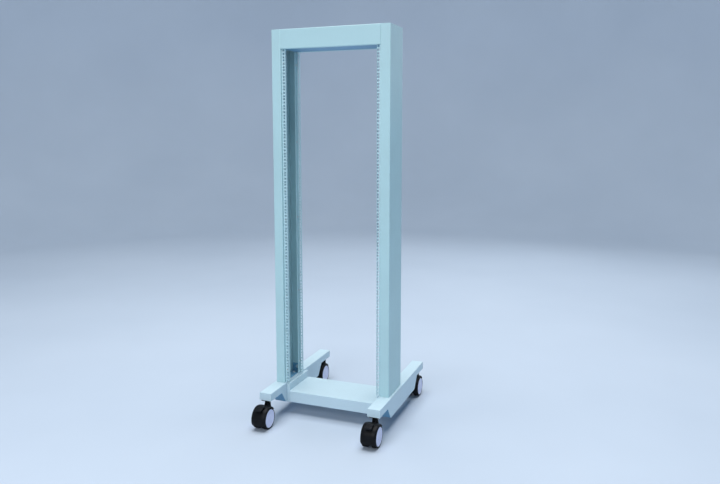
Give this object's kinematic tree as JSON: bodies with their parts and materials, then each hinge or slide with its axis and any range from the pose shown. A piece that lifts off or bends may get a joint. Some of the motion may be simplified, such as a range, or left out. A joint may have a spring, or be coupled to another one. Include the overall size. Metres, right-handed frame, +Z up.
{
  "type": "open equipment rack",
  "caption": "Open 19-inch equipment rack: two deep perforated uprights with a header, on two long feet with a base tray and twin-wheel swivel casters.",
  "frame": {"origin": "on the floor, under the middle of the rack's outer box; the uprights' middle plane is 65.5 mm ahead of it", "axes": "+X to the right seen from the front, +Y to the back, +Z up"},
  "size_m": [0.612, 0.779, 1.8492],
  "materials": {
    "frame_paint": "light cool grey fine-textured powder coat",
    "rail_paint": "light cool grey powder coat",
    "foot_paint": "light cool grey powder coat",
    "inner_paint": "light cool grey powder coat, in shade",
    "zinc_steel": "bright zinc plated",
    "caster_metal": "black satin",
    "caster_plastic": "black moulded polyamide",
    "pedal_plastic": "dark grey moulded polyamide",
    "wheel_plastic": "dark moulded polypropylene",
    "tyre_rubber": "black, dull",
    "cap_plastic": "pale lavender grey, satin"
  },
  "bodies": {
    "root": {"left_upright": "frame_paint", "right_upright": "frame_paint", "left_upright_base": "inner_paint", "right_upright_base": "inner_paint", "left_top_cap": "frame_paint", "right_top_cap": "frame_paint", "front_left_rail": "rail_paint", "front_right_rail": "rail_paint", "rear_left_rail": "rail_paint", "rear_right_rail": "rail_paint", "header_shell": "frame_paint", "header_cover": "inner_paint", "left_foot": "foot_paint", "right_foot": "foot_paint", "left_foot_pan": "inner_paint", "right_foot_pan": "inner_paint", "base_tray": "foot_paint", "left_tray_bracket": "foot_paint", "right_tray_bracket": "foot_paint", "frame_bolts": "zinc_steel", "rail_screws": "zinc_steel", "caster_screws": "zinc_steel", "front_left_caster_plate": "caster_metal", "front_right_caster_plate": "caster_metal", "rear_left_caster_plate": "caster_metal", "rear_right_caster_plate": "caster_metal"},
    "front_left_swivel": {"front_left_hood": "caster_plastic", "front_left_axle": "zinc_steel"},
    "front_left_outer_wheel": {"front_left_outer_wheel": "wheel_plastic", "front_left_outer_tyre": "tyre_rubber", "front_left_outer_cap": "cap_plastic"},
    "front_left_inner_wheel": {"front_left_inner_wheel": "wheel_plastic", "front_left_inner_tyre": "tyre_rubber", "front_left_inner_cap": "cap_plastic"},
    "front_left_brake": {"front_left_brake_pedal": "pedal_plastic"},
    "front_right_swivel": {"front_right_hood": "caster_plastic", "front_right_axle": "zinc_steel"},
    "front_right_outer_wheel": {"front_right_outer_wheel": "wheel_plastic", "front_right_outer_tyre": "tyre_rubber", "front_right_outer_cap": "cap_plastic"},
    "front_right_inner_wheel": {"front_right_inner_wheel": "wheel_plastic", "front_right_inner_tyre": "tyre_rubber", "front_right_inner_cap": "cap_plastic"},
    "front_right_brake": {"front_right_brake_pedal": "pedal_plastic"},
    "rear_left_swivel": {"rear_left_hood": "caster_plastic", "rear_left_axle": "zinc_steel"},
    "rear_left_outer_wheel": {"rear_left_outer_wheel": "wheel_plastic", "rear_left_outer_tyre": "tyre_rubber", "rear_left_outer_cap": "cap_plastic"},
    "rear_left_inner_wheel": {"rear_left_inner_wheel": "wheel_plastic", "rear_left_inner_tyre": "tyre_rubber", "rear_left_inner_cap": "cap_plastic"},
    "rear_right_swivel": {"rear_right_hood": "caster_plastic", "rear_right_axle": "zinc_steel"},
    "rear_right_outer_wheel": {"rear_right_outer_wheel": "wheel_plastic", "rear_right_outer_tyre": "tyre_rubber", "rear_right_outer_cap": "cap_plastic"},
    "rear_right_inner_wheel": {"rear_right_inner_wheel": "wheel_plastic", "rear_right_inner_tyre": "tyre_rubber", "rear_right_inner_cap": "cap_plastic"}
  },
  "joints": [
    {"name": "front_left_swivel", "type": "hinge", "parent": "root", "child": "front_left_swivel", "pos_m": [-0.27, -0.2865, 0.1], "axis": [0, 0, 1], "continuous": true},
    {"name": "front_left_outer_roll", "type": "hinge", "parent": "front_left_swivel", "child": "front_left_outer_wheel", "pos_m": [-0.27, -0.3325, 0.05], "axis": [1, 0, 0], "continuous": true},
    {"name": "front_left_inner_roll", "type": "hinge", "parent": "front_left_swivel", "child": "front_left_inner_wheel", "pos_m": [-0.27, -0.3325, 0.05], "axis": [1, 0, 0], "continuous": true},
    {"name": "front_left_brake", "type": "hinge", "parent": "front_left_swivel", "child": "front_left_brake", "pos_m": [-0.27, -0.3537, 0.10826], "axis": [1, 0, 0], "range_deg": [0, 15]},
    {"name": "front_right_swivel", "type": "hinge", "parent": "root", "child": "front_right_swivel", "pos_m": [0.27, -0.2865, 0.1], "axis": [0, 0, 1], "continuous": true},
    {"name": "front_right_outer_roll", "type": "hinge", "parent": "front_right_swivel", "child": "front_right_outer_wheel", "pos_m": [0.27, -0.3325, 0.05], "axis": [1, 0, 0], "continuous": true},
    {"name": "front_right_inner_roll", "type": "hinge", "parent": "front_right_swivel", "child": "front_right_inner_wheel", "pos_m": [0.27, -0.3325, 0.05], "axis": [1, 0, 0], "continuous": true},
    {"name": "front_right_brake", "type": "hinge", "parent": "front_right_swivel", "child": "front_right_brake", "pos_m": [0.27, -0.3537, 0.10826], "axis": [1, 0, 0], "range_deg": [0, 15]},
    {"name": "rear_left_swivel", "type": "hinge", "parent": "root", "child": "rear_left_swivel", "pos_m": [-0.27, 0.3655, 0.1], "axis": [0, 0, 1], "continuous": true},
    {"name": "rear_left_outer_roll", "type": "hinge", "parent": "rear_left_swivel", "child": "rear_left_outer_wheel", "pos_m": [-0.27, 0.3195, 0.05], "axis": [1, 0, 0], "continuous": true},
    {"name": "rear_left_inner_roll", "type": "hinge", "parent": "rear_left_swivel", "child": "rear_left_inner_wheel", "pos_m": [-0.27, 0.3195, 0.05], "axis": [1, 0, 0], "continuous": true},
    {"name": "rear_right_swivel", "type": "hinge", "parent": "root", "child": "rear_right_swivel", "pos_m": [0.27, 0.3655, 0.1], "axis": [0, 0, 1], "continuous": true},
    {"name": "rear_right_outer_roll", "type": "hinge", "parent": "rear_right_swivel", "child": "rear_right_outer_wheel", "pos_m": [0.27, 0.3195, 0.05], "axis": [1, 0, 0], "continuous": true},
    {"name": "rear_right_inner_roll", "type": "hinge", "parent": "rear_right_swivel", "child": "rear_right_inner_wheel", "pos_m": [0.27, 0.3195, 0.05], "axis": [1, 0, 0], "continuous": true}
  ]
}
